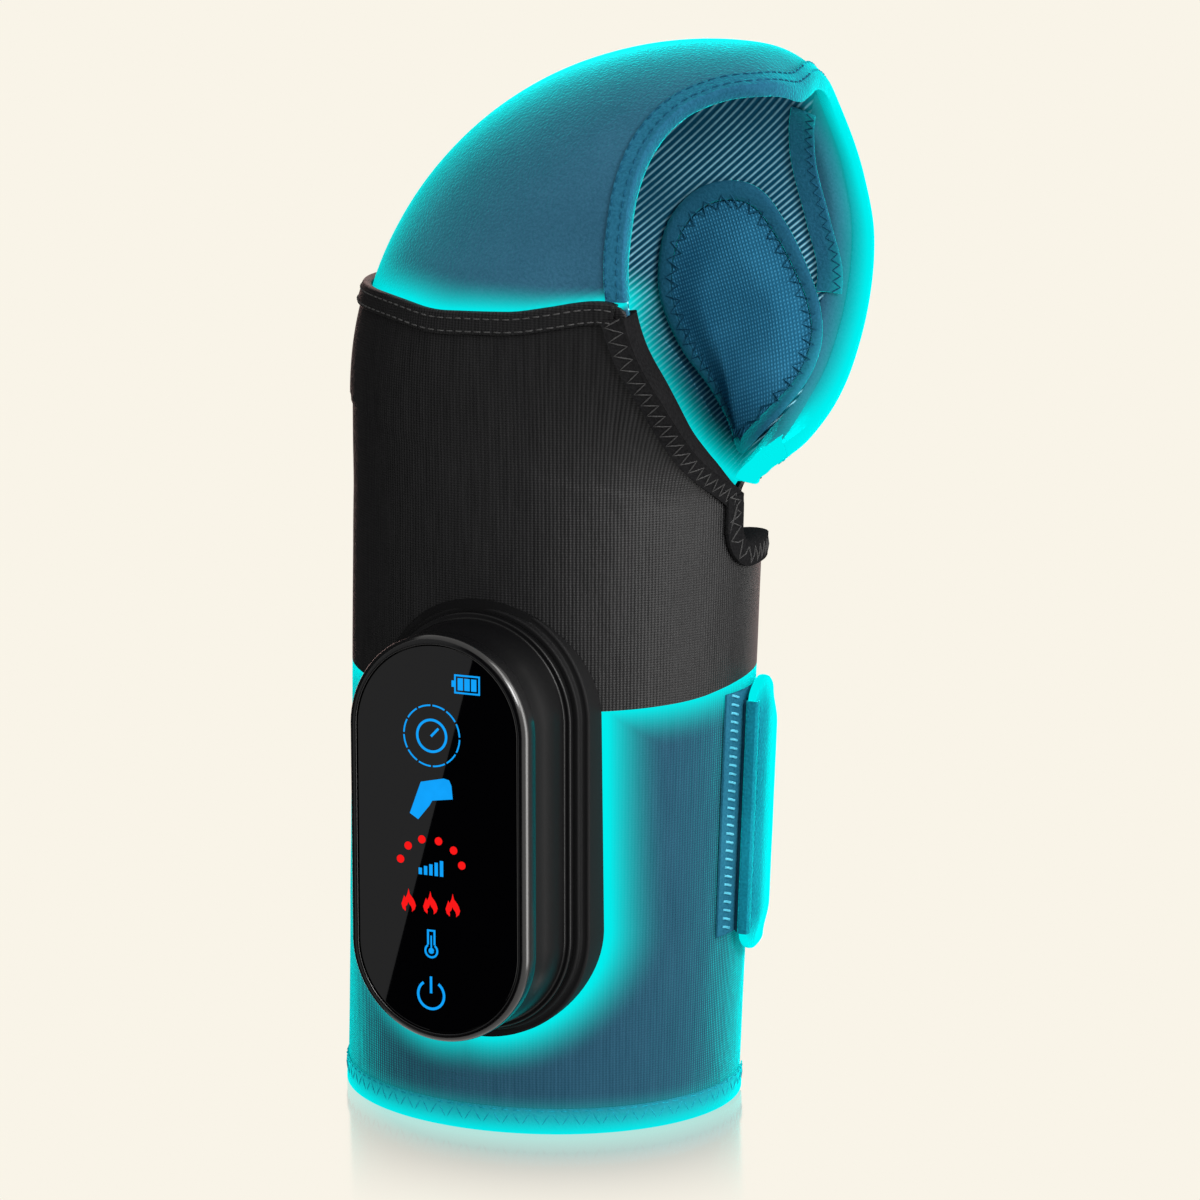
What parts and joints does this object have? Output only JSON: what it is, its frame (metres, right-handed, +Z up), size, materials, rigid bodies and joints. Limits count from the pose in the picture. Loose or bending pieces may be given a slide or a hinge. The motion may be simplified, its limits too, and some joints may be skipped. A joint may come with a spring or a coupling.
{
  "type": "heated knee massager",
  "caption": "Heated knee massager: a fabric calf sleeve with a bent knee hood, a closing flap and a pill-shaped touch controller on its outer side.",
  "frame": {"origin": "on the standing surface, under the middle of the whole part's box", "axes": "+Z up along the calf, -X to the knee cap, +X to the thigh, -Y the controller side"},
  "size_m": [0.1612, 0.1534, 0.3457],
  "materials": {
    "black_knit": "ribbed black elastic knit",
    "blue_knit": "deep blue elastic knit",
    "lining_mesh": "ribbed elastic mesh",
    "pad_knit": "waffle knit",
    "black_binding": "overlocked binding tape",
    "blue_binding": "zigzag-stitched binding tape",
    "loop_pile": "brushed loop pile",
    "hook_tape": "hook tape",
    "bladder_film": "welded urethane film",
    "heating_film": "carbon heating film",
    "gel_film": "clear film over blue gel",
    "base_rubber": "matt moulded rubber",
    "satin_abs": "satin moulded plastic",
    "gloss_abs": "gloss moulded plastic",
    "black_glass": "black printed glass",
    "white_plastic": "moulded white plastic",
    "board_laminate": "green board laminate",
    "cell_wrap": "shrink sleeve",
    "plated_steel": "plated steel",
    "clear_hose": "clear silicone tube"
  },
  "bodies": {
    "wrap": {"calf_shell": "black_knit", "calf_lining": "lining_mesh", "calf_air_bladder": "bladder_film", "calf_heating_film": "heating_film", "bottom_hem_binding": "blue_binding", "calf_top_hem": "black_binding", "side_edge_binding": "black_binding", "notch_binding": "black_binding", "hood_shell": "blue_knit", "hood_lining": "lining_mesh", "hood_rim_binding": "blue_binding", "knee_heating_film": "heating_film", "knee_air_bladder": "bladder_film", "medial_pad": "pad_knit", "medial_pad_binding": "blue_binding", "medial_edge_band": "blue_binding", "gel_pocket": "lining_mesh", "loop_panel": "loop_pile", "controller_base": "base_rubber", "backing_plate": "white_plastic", "clamp_screw_1": "plated_steel", "clamp_screw_2": "plated_steel", "clamp_screw_3": "plated_steel", "clamp_screw_4": "plated_steel", "rear_housing": "satin_abs", "charging_port": "plated_steel", "housing_gasket": "base_rubber", "front_bezel": "gloss_abs", "touch_lens": "black_glass", "light_mask": "white_plastic", "display_board": "board_laminate", "battery_cell_1": "cell_wrap", "battery_cell_2": "cell_wrap", "main_board": "board_laminate", "pump_head": "white_plastic", "pump_motor": "plated_steel", "release_valve": "white_plastic", "buzzer": "base_rubber", "calf_air_hose": "clear_hose", "knee_air_hose": "clear_hose", "heater_lead": "base_rubber"},
    "flap": {"closing_flap": "blue_knit", "flap_edge_binding": "blue_binding", "flap_hook_strip": "hook_tape"},
    "gel": {"gel_pack": "gel_film"}
  },
  "joints": [
    {"name": "flap_fold", "type": "hinge", "parent": "wrap", "child": "flap", "pos_m": [0.02204, 0.06617, 0.0951], "axis": [0.0328, 0.0035, 0.9995], "range_deg": [0, 95]},
    {"name": "gel_pack_slide", "type": "hinge", "parent": "wrap", "child": "gel", "pos_m": [0.07233, -0.031, 0.2011], "axis": [0, 1, 0], "range_deg": [0, 50]}
  ]
}
